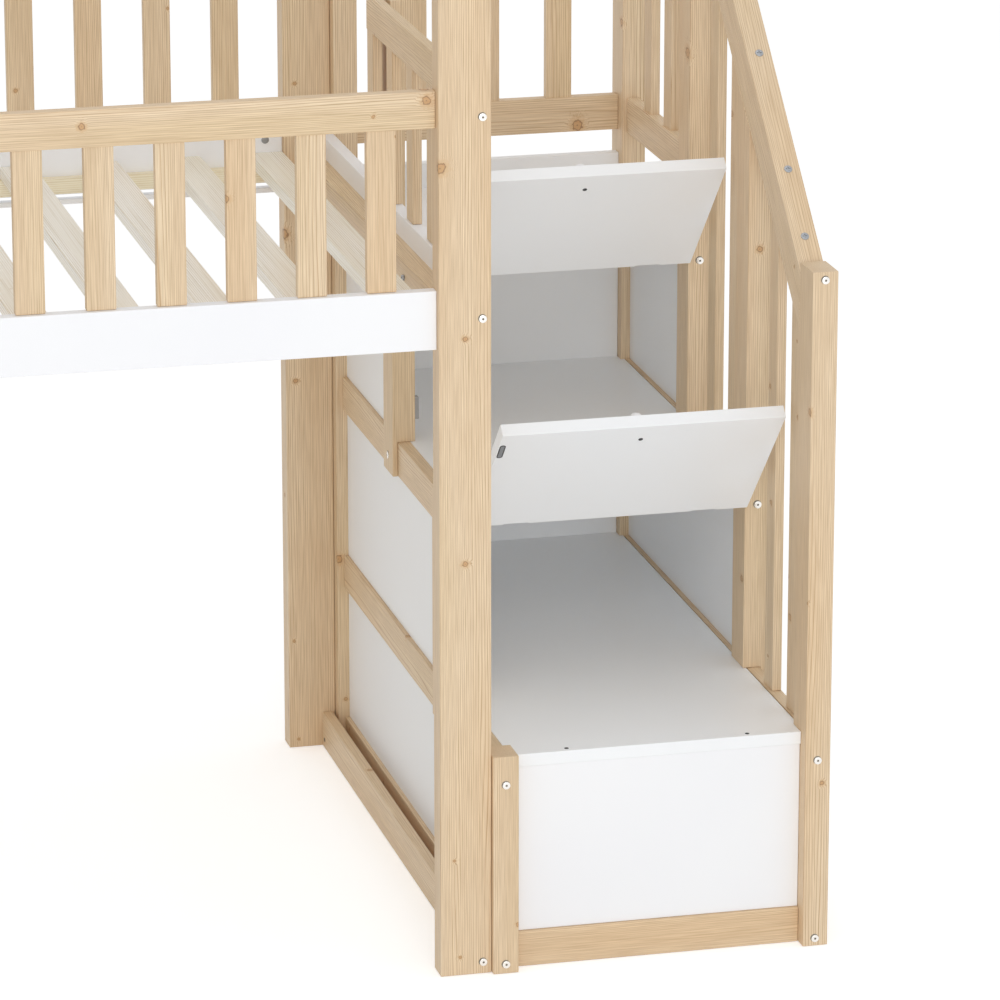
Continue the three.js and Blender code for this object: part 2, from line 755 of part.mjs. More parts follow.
// The origin lies on the floor under the middle of the whole.
const farRight = stairRight;
const farFront = -slideRun;
const farRear = bedDepth + eaveOverhang;
bed.position.set(-(leftOuter + farRight) / 2, -(farFront + farRear) / 2, 0);

export default bed;
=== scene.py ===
import math
import bmesh
import bpy
from mathutils import Matrix, Vector


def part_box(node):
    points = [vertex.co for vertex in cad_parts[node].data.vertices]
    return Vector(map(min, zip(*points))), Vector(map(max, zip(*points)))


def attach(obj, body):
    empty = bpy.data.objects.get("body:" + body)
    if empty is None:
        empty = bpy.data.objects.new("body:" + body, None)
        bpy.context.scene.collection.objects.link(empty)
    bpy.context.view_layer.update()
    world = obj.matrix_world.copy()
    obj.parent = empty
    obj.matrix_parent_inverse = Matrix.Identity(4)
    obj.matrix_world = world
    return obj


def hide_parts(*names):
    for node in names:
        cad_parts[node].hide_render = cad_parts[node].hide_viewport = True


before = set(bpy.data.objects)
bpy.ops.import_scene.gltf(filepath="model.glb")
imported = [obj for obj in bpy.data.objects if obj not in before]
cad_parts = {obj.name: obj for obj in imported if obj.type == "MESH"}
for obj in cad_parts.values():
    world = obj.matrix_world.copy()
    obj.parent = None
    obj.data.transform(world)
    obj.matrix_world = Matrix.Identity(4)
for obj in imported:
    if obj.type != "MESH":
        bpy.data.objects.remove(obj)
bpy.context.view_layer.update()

postLow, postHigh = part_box("bed_post_front_right")
corner = Vector((postHigh.x, postLow.y, 0))
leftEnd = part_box("bed_post_front_left")[0].x - corner.x
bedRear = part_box("bed_post_rear_right")[1].y - corner.y
mm = 0.001
tiny = 1e-6
quarter = math.radians(90)
stairSlope = math.radians(42.1)
roofSlope = math.radians(40)


# Materials

def linearColour(hexColour):  # the sRGB curve, undone
    channels = [int(hexColour[i:i + 2], 16) / 255 for i in (1, 3, 5)]
    return tuple(c / 12.92 if c <= 0.04045 else ((c + 0.055) / 1.055) ** 2.4 for c in channels) + (1.0,)


def addNode(tree, kind, inputs=None, stops=(), **settings):
    node = tree.nodes.new(kind)
    for key, value in settings.items():
        setattr(node, key, value)
    for key, value in (inputs or {}).items():
        if isinstance(value, bpy.types.NodeSocket):
            tree.links.new(value, node.inputs[key])
        else:
            node.inputs[key].default_value = value
    if stops:  # a colour ramp's positions and colours
        elements = node.color_ramp.elements
        while len(elements) < len(stops):
            elements.new(0.5)
        for element, (position, colour) in zip(elements, stops):
            element.position, element.color = position, linearColour(colour)
    return node


def startMaterial(name):
    material = bpy.data.materials.new(name)
    material.use_nodes = True
    tree = material.node_tree
    tree.nodes.clear()
    place = addNode(tree, "ShaderNodeTexCoord").outputs["Object"]
    return material, tree, place


def endMaterial(tree, inputs):
    shader = addNode(tree, "ShaderNodeBsdfPrincipled", inputs)
    addNode(tree, "ShaderNodeOutputMaterial", {"Surface": shader.outputs[0]})


# Planed pine or spruce under a clear satin lacquer: narrow growth rings that wander along the
# board, fine fibre, small sound knots with the rings bent round them.
pineLook = {
    "earlyWood": "#F2DDBE", "midWood": "#E6CDAB", "lateWood": "#BF976C",
    "ringStops": (0.0, 0.10, 0.60, 0.84, 0.94, 1.0),  # mid, early, early, mid, late and mid wood
    "ringsPerMetre": (360.0, 290.0, 0.0),  # growth rings crossed on the way through a board
    "ringWander": 15.0,      # how many times a metre the rings change course across a board
    "ringStretch": 0.038,    # the same along the board, as a share of that
    "ringCount": 17.0,       # rings that a full change of course runs over
    "plainPerMetre": 24.0, "plainStretch": 0.035,  # stretches of plain wood, where the rings fade
    "plainSpan": (0.38, 0.60), "plainShare": 0.8,
    "paleFibre": "#FFFFFF", "darkFibre": "#CBC0B0", "fibreSpan": (0.3, 0.7), "fibreShare": 0.55,
    "fibrePerMetre": 900.0, "fibreStretch": 0.02,  # real fibres are finer; these just show
    "tones": ((0.3, "#FDF8F1"), (0.5, "#FFFFFF"), (0.7, "#FBFAF3")),
    "tonePerMetre": 11.0, "toneStretch": 0.12,
    "knotCore": "#C89C6B", "knotRim": "#855A35", "knotHalo": "#D6B489",
    "knotStops": (0.0, 0.25, 0.75, 0.975, 1.2),  # rim, core, core, rim and halo, in knot radii
    "knotReach": 2.5,        # how many radii the knot's colours run to
    "knotAcross": 0.060, "knotAlong": 0.150,  # the cell that one knot has to itself
    "knotSlant": (0.77, -0.64, 0),            # the way across, so that all four faces show knots
    "knotShare": 0.46,                        # how many cells have theirs
    "knotRadius": 0.0054, "smallestShare": 0.26, "knotRarity": 2.5,  # most are near the smallest
    "knotLength": 0.8, "knotCover": 0.85, "knotFade": (1.0, 2.4),
    "raggedPerMetre": 240.0, "raggedSpan": (0.3, 0.7), "raggedness": (0.8, 1.2),
    "ringBend": 0.9, "bendFade": (0.6, 3.6),  # rings that a knot pushes aside, and how far out
    "roughness": 0.48, "glossSpread": (-0.06, 0.08), "grainDepth": 0.00012, "grainStrength": 0.35,
    "ringRelief": 0.5,       # how much of the relief the rings make, beside the fibre
}


def lacqueredPine(name, turn, look=pineLook):
    material, tree, place = startMaterial(name)
    along = addNode(tree, "ShaderNodeMapping", {"Vector": place, "Rotation": turn}).outputs[0]

    # sound knots, scattered over the faces and running through the board
    across = addNode(tree, "ShaderNodeVectorMath", {0: along, 1: look["knotSlant"]},
                     operation="DOT_PRODUCT").outputs["Value"]
    split = addNode(tree, "ShaderNodeSeparateXYZ", {0: along})
    cellU = addNode(tree, "ShaderNodeMath", {0: across, 1: look["knotAcross"]}, operation="DIVIDE")
    cellV = addNode(tree, "ShaderNodeMath", {0: split.outputs[2], 1: look["knotAlong"]},
                    operation="DIVIDE")
    cell = addNode(tree, "ShaderNodeCombineXYZ", {0: cellU.outputs[0], 1: cellV.outputs[0]}).outputs[0]
    knots = addNode(tree, "ShaderNodeTexVoronoi", {"Vector": cell, "Scale": 1.0},
                    voronoi_dimensions="2D")
    away = addNode(tree, "ShaderNodeVectorMath", {0: knots.outputs["Position"], 1: cell},
                   operation="SUBTRACT").outputs[0]
    cellSize = (look["knotAcross"], look["knotAlong"] * look["knotLength"], 0)
    away = addNode(tree, "ShaderNodeVectorMath", {0: away, 1: cellSize}, operation="MULTIPLY").outputs[0]
    distance = addNode(tree, "ShaderNodeVectorMath", {0: away}, operation="LENGTH").outputs["Value"]
    lot = addNode(tree, "ShaderNodeSeparateColor", {0: knots.outputs["Color"]})
    present = addNode(tree, "ShaderNodeMath", {0: lot.outputs[0], 1: look["knotShare"]},
                      operation="LESS_THAN").outputs[0]
    rarity = addNode(tree, "ShaderNodeMath", {0: lot.outputs[1], 1: look["knotRarity"]},
                     operation="POWER").outputs[0]
    size = addNode(tree, "ShaderNodeMapRange",
                   {"Value": rarity, "To Min": look["knotRadius"] * look["smallestShare"],
                    "To Max": look["knotRadius"]}).outputs[0]
    ratio = addNode(tree, "ShaderNodeMath", {0: distance, 1: size}, operation="DIVIDE").outputs[0]
    ragged = addNode(tree, "ShaderNodeTexNoise",
                     {"Vector": along, "Scale": look["raggedPerMetre"], "Detail": 1.0}).outputs["Fac"]
    ragged = addNode(tree, "ShaderNodeMapRange",
                     {"Value": ragged, "From Min": look["raggedSpan"][0], "From Max": look["raggedSpan"][1],
                      "To Min": look["raggedness"][0], "To Max": look["raggedness"][1]}).outputs[0]
    ratio = addNode(tree, "ShaderNodeMath", {0: ratio, 1: ragged}, operation="MULTIPLY").outputs[0]

    # growth rings, bent round the knots
    bend = addNode(tree, "ShaderNodeMapRange",
                   {"Value": ratio, "From Min": look["bendFade"][0], "From Max": look["bendFade"][1],
                    "To Min": look["ringBend"], "To Max": 0.0}, interpolation_type="SMOOTHERSTEP").outputs[0]
    bend = addNode(tree, "ShaderNodeMath", {0: bend, 1: present}, operation="MULTIPLY").outputs[0]
    stretched = addNode(tree, "ShaderNodeMapping",
                        {"Vector": along, "Scale": (1, 1, look["ringStretch"])}).outputs[0]
    wander = addNode(tree, "ShaderNodeTexNoise",
                     {"Vector": stretched, "Scale": look["ringWander"], "Detail": 3.0, "Roughness": 0.5})
    straight = addNode(tree, "ShaderNodeVectorMath", {0: along, 1: look["ringsPerMetre"]},
                       operation="DOT_PRODUCT").outputs["Value"]
    bend = addNode(tree, "ShaderNodeMath", {0: straight, 1: bend}).outputs[0]
    phase = addNode(tree, "ShaderNodeMath", {0: wander.outputs["Fac"], 1: look["ringCount"], 2: bend},
                    operation="MULTIPLY_ADD").outputs[0]
    ring = addNode(tree, "ShaderNodeMath", {0: phase}, operation="FRACT").outputs[0]
    woods = [look[wood + "Wood"] for wood in ("mid", "early", "early", "mid", "late", "mid")]
    rings = addNode(tree, "ShaderNodeValToRGB", {"Fac": ring},
                    stops=list(zip(look["ringStops"], woods))).outputs["Color"]
    plain = addNode(tree, "ShaderNodeMapping",
                    {"Vector": along, "Scale": (1, 1, look["plainStretch"])}).outputs[0]
    plain = addNode(tree, "ShaderNodeTexNoise",
                    {"Vector": plain, "Scale": look["plainPerMetre"], "Detail": 1.5}).outputs["Fac"]
    plain = addNode(tree, "ShaderNodeMapRange",
                    {"Value": plain, "From Min": look["plainSpan"][0], "From Max": look["plainSpan"][1],
                     "To Min": look["plainShare"], "To Max": 0.0}).outputs[0]
    rings = addNode(tree, "ShaderNodeMix", {0: plain, 6: rings, 7: linearColour(look["midWood"])},
                    data_type="RGBA").outputs[2]

    # fine fibre and the slow change of tone from board to board
    fine = addNode(tree, "ShaderNodeMapping",
                   {"Vector": along, "Scale": (1, 1, look["fibreStretch"])}).outputs[0]
    fibre = addNode(tree, "ShaderNodeTexNoise",
                    {"Vector": fine, "Scale": look["fibrePerMetre"], "Detail": 2.0}).outputs["Fac"]
    tone = addNode(tree, "ShaderNodeMapping",
                   {"Vector": along, "Scale": (1, 1, look["toneStretch"])}).outputs[0]
    tone = addNode(tree, "ShaderNodeTexNoise",
                   {"Vector": tone, "Scale": look["tonePerMetre"], "Detail": 1.0}).outputs["Fac"]
    fibreStops = list(zip(look["fibreSpan"], (look["darkFibre"], look["paleFibre"])))
    fibreTone = addNode(tree, "ShaderNodeValToRGB", {"Fac": fibre}, stops=fibreStops).outputs["Color"]
    broadTone = addNode(tree, "ShaderNodeValToRGB", {"Fac": tone}, stops=look["tones"]).outputs["Color"]
    wood = addNode(tree, "ShaderNodeMix", {0: look["fibreShare"], 6: rings, 7: fibreTone},
                   data_type="RGBA", blend_type="MULTIPLY").outputs[2]
    wood = addNode(tree, "ShaderNodeMix", {0: 1.0, 6: wood, 7: broadTone},
                   data_type="RGBA", blend_type="MULTIPLY").outputs[2]

    # a knot: a brown core, a dark rim and a warm halo
    outwards = addNode(tree, "ShaderNodeMath", {0: ratio, 1: 1 / look["knotReach"]},
                       operation="MULTIPLY").outputs[0]
    knotColours = [look["knot" + part] for part in ("Rim", "Core", "Core", "Rim", "Halo")]
    knotStops = [(radii / look["knotReach"], colour) for radii, colour in zip(look["knotStops"], knotColours)]
    knotColour = addNode(tree, "ShaderNodeValToRGB", {"Fac": outwards}, stops=knotStops).outputs["Color"]
    cover = addNode(tree, "ShaderNodeMapRange",
                    {"Value": ratio, "From Min": look["knotFade"][0], "From Max": look["knotFade"][1],
                     "To Min": look["knotCover"], "To Max": 0.0}, interpolation_type="SMOOTHSTEP").outputs[0]
    cover = addNode(tree, "ShaderNodeMath", {0: cover, 1: present}, operation="MULTIPLY").outputs[0]
    wood = addNode(tree, "ShaderNodeMix", {0: cover, 6: wood, 7: knotColour}, data_type="RGBA").outputs[2]

    relief = addNode(tree, "ShaderNodeMath", {0: ring, 1: look["ringRelief"], 2: fibre},
                     operation="MULTIPLY_ADD").outputs[0]
    bump = addNode(tree, "ShaderNodeBump",
                   {"Height": relief, "Strength": look["grainStrength"], "Distance": look["grainDepth"]})
    gloss = addNode(tree, "ShaderNodeMapRange",
                    {"Value": fibre, "To Min": look["roughness"] + look["glossSpread"][0],
                     "To Max": look["roughness"] + look["glossSpread"][1]})
    endMaterial(tree, {"Base Color": wood, "Roughness": gloss.outputs[0], "Normal": bump.outputs[0],
                       "IOR": 1.5})
    return material


pineUp = lacqueredPine("lacquered pine, grain upright", (0, 0, 0))
pineLong = lacqueredPine("lacquered pine, grain along the bed", (0, quarter, 0))
pineCross = lacqueredPine("lacquered pine, grain front to back", (quarter, 0, 0))
pineStair = lacqueredPine("lacquered pine, grain along the handrail", (quarter - stairSlope, 0, 0))
pineFrontRafter = lacqueredPine("lacquered pine, grain along the front rafters", (quarter - roofSlope, 0, 0))
pineRearRafter = lacqueredPine("lacquered pine, grain along the rear rafters", (roofSlope - quarter, 0, 0))

# Planed, unfinished spruce: paler and greyer than the lacquered pine, with wide rings and few knots.
slatLook = dict(pineLook, earlyWood="#FFFCF5", midWood="#F8F3E6", lateWood="#BDAC88",
                ringsPerMetre=(330.0, 240.0, 1.0), ringCount=2.5, plainPerMetre=40.0,
                darkFibre="#DDD5C4", fibreSpan=(0.3, 0.5), fibrePerMetre=620.0, fibreStretch=0.008,
                knotCore="#D2BC98", knotRim="#B99B72", knotHalo="#E4D6BC", knotShare=0.06,
                knotRadius=0.003, roughness=0.36, grainDepth=0.0002)
ledgerLook = dict(slatLook, earlyWood="#FBF2DA", midWood="#F5EACC", lateWood="#DAC696")
slatWood = lacqueredPine("unfinished spruce slats", (quarter, 0, 0), slatLook)
ledgerWood = lacqueredPine("unfinished spruce ledgers", (0, quarter, 0), ledgerLook)

# Boards and moulded plastic: smooth, with the faint orange peel of a roller, a press or a mould.
boardLook = {"tonePerMetre": 2.5, "toneSpan": (0.35, 0.65), "glossSpread": 0.04, "peelStrength": 0.2}


def smoothBoard(name, colour, shade, roughness, peelPerMetre, peelDepth):
    material, tree, place = startMaterial(name)
    broad = addNode(tree, "ShaderNodeTexNoise",
                    {"Vector": place, "Scale": boardLook["tonePerMetre"], "Detail": 2.0}).outputs["Fac"]
    tint = addNode(tree, "ShaderNodeValToRGB", {"Fac": broad},
                   stops=list(zip(boardLook["toneSpan"], (shade, colour))))
    peel = addNode(tree, "ShaderNodeTexNoise",
                   {"Vector": place, "Scale": peelPerMetre, "Detail": 2.0}).outputs["Fac"]
    bump = addNode(tree, "ShaderNodeBump",
                   {"Height": peel, "Strength": boardLook["peelStrength"], "Distance": peelDepth})
    gloss = addNode(tree, "ShaderNodeMapRange",
                    {"Value": broad, "To Min": roughness - boardLook["glossSpread"],
                     "To Max": roughness + boardLook["glossSpread"]})
    endMaterial(tree, {"Base Color": tint.outputs["Color"], "Roughness": gloss.outputs[0],
                       "Normal": bump.outputs[0], "IOR": 1.5})
    return material


# Satin paint rolled on, foil pressed on at the mill, and the harder laminate of the doors and the
# slide: plain whites with a broad soft sheen, the laminate's a little sharper.
paintedBoard = smoothBoard("white satin paint on board", "#F8F9FB", "#F5F6F9", 0.42, 700, 0.00006)
foiledBoard = smoothBoard("white foil pressed on board", "#F8FAFC", "#F5F7F9", 0.42, 900, 0.00004)
laminateBoard = smoothBoard("white melamine laminate", "#F9FCFF", "#F6F9FC", 0.34, 1400, 0.00003)
# Small mouldings, dull and even. The catches' grey is painted shade: they sit in the compartments' shade, and
# their grey stands in for it
catchShadedNylon = smoothBoard("moulded nylon, greyed with painted shade", "#B4B5B8", "#AEB0B4", 0.5, 2200, 0.00002)
rimPlastic = smoothBoard("black moulded nylon", "#3E3F41", "#363739", 0.45, 2200, 0.00002)
# Painted shade in a bore: a dark, rough film that stands in for the shadow in the hole round a bolt head
boreShade = smoothBoard("painted shade in a bolt bore", "#8A8276", "#7A7266", 0.8, 900, 0.00008)

# Plated steel: nickel warm and bright, zinc duller and a little mottled, blackened steel dark
platingLook = {"toneSpan": (0.35, 0.65), "glossSpread": (-0.05, 0.08), "grainStrength": 0.15,
               "grainDepth": 0.00003}


def platedSteel(name, colour, shade, roughness, grainPerMetre):
    material, tree, place = startMaterial(name)
    grain = addNode(tree, "ShaderNodeTexNoise",
                    {"Vector": place, "Scale": grainPerMetre, "Detail": 3.0}).outputs["Fac"]
    tint = addNode(tree, "ShaderNodeValToRGB", {"Fac": grain},
                   stops=list(zip(platingLook["toneSpan"], (shade, colour))))
    bump = addNode(tree, "ShaderNodeBump", {"Height": grain, "Strength": platingLook["grainStrength"],
                                            "Distance": platingLook["grainDepth"]})
    gloss = addNode(tree, "ShaderNodeMapRange",
                    {"Value": grain, "To Min": roughness + platingLook["glossSpread"][0],
                     "To Max": roughness + platingLook["glossSpread"][1]})
    endMaterial(tree, {"Base Color": tint.outputs["Color"], "Metallic": 1.0, "Roughness": gloss.outputs[0],
                       "Normal": bump.outputs[0]})
    return material


nickelPlate = platedSteel("nickel plated steel", "#F1EFEB", "#E2DFDA", 0.24, 1800)
zincPlate = platedSteel("zinc plated steel", "#AEB0B3", "#94979B", 0.36, 1100)
blackSteel = platedSteel("blackened steel", "#6A6B6E", "#4E4F52", 0.45, 1500)
print("materials made")

# Timbers and boards: each is its CAD solid, merged, with its arrises eased
cleaning = {"mergeWithin": 0.02 * mm, "cutWithin": 0.01 * mm, "flatBelow": math.radians(0.5),
            "easeAbove": math.radians(20), "arrisSteps": 2}


def mergedCopy(node, jointHeights=()):
    shape = bmesh.new()
    shape.from_mesh(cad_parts[node].data)
    bmesh.ops.remove_doubles(shape, verts=shape.verts, dist=cleaning["mergeWithin"])
    bmesh.ops.dissolve_limit(shape, angle_limit=cleaning["flatBelow"], verts=shape.verts, edges=shape.edges)
    for height in jointHeights:  # a face that runs over a joint between two timbers is parted there
        bmesh.ops.bisect_plane(shape, geom=[*shape.verts, *shape.edges, *shape.faces],
                               dist=cleaning["cutWithin"], plane_co=(0, 0, height), plane_no=(0, 0, 1))
    return shape


def easeArrises(shape, width):
    outward = [edge for edge in shape.edges
               if len(edge.link_faces) == 2 and edge.calc_face_angle_signed(0) > cleaning["easeAbove"]]
    bmesh.ops.bevel(shape, geom=outward, offset=width, offset_type="OFFSET", segments=cleaning["arrisSteps"],
                    profile=0.5, affect="EDGES", clamp_overlap=True, material=-1)


def addPiece(name, shape, materials, body, nodes=(), pick=None, smoothBelow=None):
    if pick:
        for face in shape.faces:
            face.material_index = pick(face.calc_center_median())
    mesh = bpy.data.meshes.new(name)
    shape.to_mesh(mesh)
    shape.free()
    for material in materials:
        mesh.materials.append(material)
    if smoothBelow:
        mesh.shade_smooth()
        mesh.set_sharp_from_angle(angle=math.radians(smoothBelow))
    piece = bpy.data.objects.new(name, mesh)
    bpy.context.scene.collection.objects.link(piece)
    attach(piece, body)
    if nodes:
        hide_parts(*nodes)


def pieceName(node):
    first, *rest = node.split("_")
    return first + "".join(word.capitalize() for word in rest)


def dressNode(node, materials, arris, pick=None, jointHeights=()):
    shape = mergedCopy(node, jointHeights)
    easeArrises(shape, arris)
    addPiece(pieceName(node), shape, materials, "frame", [node], pick)


def addBox(shape, low, high):
    place = Matrix.Translation((low + high) / 2) @ Matrix.Diagonal((*(high - low), 1))
    bmesh.ops.create_cube(shape, size=1.0, matrix=place)


timber = {"arris": 0.9 * mm}
uprightTimbers = [
    "bed_post_front_right", "bed_post_rear_right", "bed_post_front_left", "bed_post_rear_left",
    "stair_post_front_left", "stair_newel", "stair_post_rear_left", "stair_post_rear_right",
    "stair_stile_left_1", "stair_stile_left_2", "stair_stile_right_1", "stair_stile_right_2",
]
longTimbers = ["roof_ridge", "stair_front_rail"]
crossTimbers = ["floor_rail_right", "floor_rail_left"]
crossTimbers += [f"stair_rail_{side}_{level}" for side in ("left", "right") for level in range(4)]
for names, material in ((uprightTimbers, pineUp), (longTimbers, pineLong), (crossTimbers, pineCross)):
    for node in names:
        dressNode(node, [material], timber["arris"])

# Gables: two rafters each, mitred at the peak with a hair of air between them
gable = {"mitreGap": 0.1 * mm}
bedMiddle = corner.y + bedRear / 2
for side in ("right", "left"):
    for end, material, clearing in (("Front", pineFrontRafter, 1), ("Rear", pineRearRafter, -1)):
        shape = mergedCopy("roof_gable_" + side)
        plane = Vector((0, bedMiddle - clearing * gable["mitreGap"], 0))
        cut = bmesh.ops.bisect_plane(shape, geom=[*shape.verts, *shape.edges, *shape.faces], dist=tiny,
                                     plane_co=plane, plane_no=(0, clearing, 0), clear_outer=True)["geom_cut"]
        cutEdges = [part for part in cut if isinstance(part, bmesh.types.BMEdge)]
        bmesh.ops.holes_fill(shape, edges=cutEdges, sides=0)
        bmesh.ops.recalc_face_normals(shape, faces=shape.faces)
        easeArrises(shape, timber["arris"])
        replaced = ["roof_gable_" + side] if end == "Front" else []
        addPiece("rafter" + side.capitalize() + end, shape, [material], "frame", replaced)

# Guards: a rail with flat balusters let into it. Above the rail's underside the grain runs with the
# rail, below it upright.
guard = {"railUnder": 1095.7 * mm, "nearby": 0.5 * mm}


def guardPick(centre):
    return 0 if centre.z > guard["railUnder"] - guard["nearby"] else 1


for node in ("guard_front", "guard_rear", "guard_end_right", "guard_end_left"):
    rail = pineCross if "_end_" in node else pineLong
    dressNode(node, [rail, pineUp], timber["arris"], guardPick, [guard["railUnder"]])

# Landing guards: balusters between a low rail and a top rail, each given from its underside to its top
landingGuard = {"rails": ((867.7 * mm, 916.7 * mm), (1338 * mm, 1387 * mm)), "nearby": 0.5 * mm}


def landingPick(centre):
    nearby = landingGuard["nearby"]
    return 0 if any(low - nearby < centre.z < high + nearby for low, high in landingGuard["rails"]) else 1


dressNode("landing_guard_right", [pineCross, pineUp], timber["arris"], landingPick)
dressNode("landing_guard_rear", [pineLong, pineUp], timber["arris"], landingPick)

# Handrail: its underside climbs at the stair's angle from the newel
handrail = {"back": 47 * mm, "top": 880.2 * mm, "depth": 58 * mm, "nearby": 3 * mm}


def handrailTop(y):
    return handrail["top"] + (y - handrail["back"]) * math.tan(stairSlope)


def handrailPick(centre):
    under = handrailTop(centre.y - corner.y) - handrail["depth"] / math.cos(stairSlope)
    return 0 if centre.z > under - handrail["nearby"] else 1


dressNode("handrail", [pineStair, pineUp], timber["arris"], handrailPick)
print("timbers made")

# Boards round the mattress, thin panels in the stair's sides, boards across its front and back
board = {"arris": 0.8 * mm, "thinArris": 0.5 * mm, "treadGap": 1.2 * mm}
for node in ("side_board_front", "side_board_rear", "stair_front_panel"):
    dressNode(node, [paintedBoard], board["arris"])
dressNode("stair_rear_panel", [foiledBoard], board["arris"])
dressNode("tie_bar_rear", [paintedBoard], board["thinArris"])
for side in ("left", "right"):
    for bay in (1, 2, 3):
        dressNode(f"stair_panel_{side}_{bay}", [foiledBoard], board["thinArris"])

# Treads: each stops a little short of the right side rail, and the gap shows as a dark line
for tread in (1, 2, 3):
    node = f"stair_tread_{tread}"
    shape = mergedCopy(node)
    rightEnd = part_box(node)[1].x
    ends = [vert for vert in shape.verts if vert.co.x > rightEnd - cleaning["mergeWithin"]]
    bmesh.ops.translate(shape, vec=(-board["treadGap"], 0, 0), verts=ends)
    easeArrises(shape, board["arris"])
    addPiece(pieceName(node), shape, [foiledBoard], "frame", [node])

# End boards: painted, each with a pine ledger screwed to its inner face
endLedger = {"behind": 20.8 * mm, "inner": 45.3 * mm, "apart": 0.3 * mm,
             "screwHeight": 842.5 * mm, "screwPlaces": (277 * mm, 765 * mm)}
for side, inward in (("right", -1), ("left", 1)):
    low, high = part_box("end_board_" + side)
    ledgerDepth = endLedger["inner"] - endLedger["behind"] - endLedger["apart"]
    inside = (low if inward < 0 else high).x - inward * ledgerDepth
    dressNode("end_board_" + side, [paintedBoard, pineCross], board["arris"],
              lambda centre, inward=inward, inside=inside: 1 if (centre.x - inside) * inward > 0 else 0)

# Slats, laid from the right end on two ledgers
deck = {"pitch": 115 * mm, "width": 46 * mm, "ledgerTop": 844.5 * mm, "ledgerFoot": 822.5 * mm,
        "ledgerDepth": 14.6 * mm, "arris": 1.2 * mm}
deckLow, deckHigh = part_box("slat_deck")
slats = bmesh.new()
right = deckHigh.x
while right - deck["width"] > deckLow.x - tiny:
    addBox(slats, Vector((right - deck["width"], deckLow.y, deck["ledgerTop"])),
           Vector((right, deckHigh.y, deckHigh.z)))
    right -= deck["pitch"]
easeArrises(slats, deck["arris"])
addPiece("slats", slats, [slatWood], "frame", ["slat_deck"])
ledgers = bmesh.new()
for y in (deckLow.y, deckHigh.y - deck["ledgerDepth"]):
    addBox(ledgers, Vector((deckLow.x, y, deck["ledgerFoot"])),
           Vector((deckHigh.x, y + deck["ledgerDepth"], deck["ledgerTop"])))
easeArrises(ledgers, deck["arris"])
addPiece("slatLedgers", ledgers, [ledgerWood], "frame")

# Slide: a laminated chute, its side boards rounded over
slide = {"arris": 2.5 * mm}
dressNode("slide_chute", [laminateBoard], slide["arris"])
print("boards made")

# Flap doors: each is modelled closed, hanging from its pin, and then turned open.
flap = {
    "width": 369.6 * mm, "height": 237.9 * mm, "thickness": 17.2 * mm, "arris": 0.7 * mm,
    "left": 36.5 * mm,                        # from the corner
    "proud": 3.9 * mm, "rise": 1.6 * mm,      # the pin stands before the door's face and above its top
    "opening": math.radians(135),
    "hingeCentres": (96.0 * mm, 346.6 * mm), "notchLength": 33 * mm, "notchDepth": 1.9 * mm,
}
flapAxes = {"lower": (272.8 * mm, 525.2 * mm), "upper": (552.9 * mm, 783.5 * mm)}  # back and up


# This carries a piece of the closed door to where the open door stands.
def doorPlace(level):
    y, z = flapAxes[level]
    return Matrix.Translation(corner + Vector((0, y, z))) @ Matrix.Rotation(-flap["opening"], 4, "X")


def flapPanel():
    right = flap["left"] + flap["width"]
    top = -flap["rise"]
    half = flap["notchLength"] / 2
    corners = [(flap["left"], top)]
    for centre in flap["hingeCentres"]:
        corners += [(centre - half, top), (centre - half, top - flap["notchDepth"]),
                    (centre + half, top - flap["notchDepth"]), (centre + half, top)]
    corners += [(right, top), (right, top - flap["height"]), (flap["left"], top - flap["height"])]
    shape = bmesh.new()
    face = shape.faces.new([shape.verts.new((x, flap["proud"], z)) for x, z in corners])
    pushed = bmesh.ops.extrude_face_region(shape, geom=[face])["geom"]
    pushedVerts = [part for part in pushed if isinstance(part, bmesh.types.BMVert)]
    bmesh.ops.translate(shape, vec=(0, flap["thickness"], 0), verts=pushedVerts)
    bmesh.ops.recalc_face_normals(shape, faces=shape.faces)
    easeArrises(shape, flap["arris"])
    return shape


# The catch plate's steel and its black rim: flat ovals that stand on the plane y = 0
catchPlate = {"middle": 41.6 * mm, "fromEdge": 24.0 * mm, "width": 8.0 * mm, "length": 32 * mm,
              "rim": 1.6 * mm, "rimHeight": 0.25 * mm, "steelHeight": 0.4 * mm, "steps": 32}


def ovalPlate(width, length, height):
    shape = bmesh.new()
    bmesh.ops.create_cone(shape, cap_ends=True, segments=catchPlate["steps"], radius1=width / 2,
                          radius2=width / 2, depth=height)
    bmesh.ops.rotate(shape, matrix=Matrix.Rotation(-quarter, 3, "X"), verts=shape.verts)
    bmesh.ops.translate(shape, vec=(0, height / 2, 0), verts=shape.verts)
    for way in (1, -1):  # a round is pulled apart into two half rounds
        half = [vert for vert in shape.verts if vert.co.z * way > tiny]
        bmesh.ops.translate(shape, vec=(0, 0, way * (length - width) / 2), verts=half)
    return shape


# Screw and bolt heads stand on the plane z = 0, with a hexagon or a cross sunk in them.
head = {"steps": 24, "crownSteps": 3, "insetShare": 0.3, "smoothBelow": 35,
        "crossArm": math.radians(15), "swellShare": 0.02}
bolt = {"radius": 5.0 * mm, "height": 1.1 * mm, "crown": 0.4 * mm, "recess": 1.4 * mm, "depth": 1.1 * mm,
        "bore": 5.4 * mm, "boreFilm": 0.15 * mm, "sag": 0.8 * mm}
crossScrew = {"radius": 5.3 * mm, "height": 0.9 * mm, "crown": 0.4 * mm,
              "recess": 3.0 * mm, "depth": 0.8 * mm}
panScrew = {"radius": 3.9 * mm, "height": 3.4 * mm, "crown": 0.9 * mm,
            "recess": 2.4 * mm, "depth": 1.2 * mm}
darkScrew = {"radius": 2.8 * mm, "height": 0.4 * mm, "crown": 0.15 * mm,
             "recess": 1.8 * mm, "depth": 0.35 * mm}
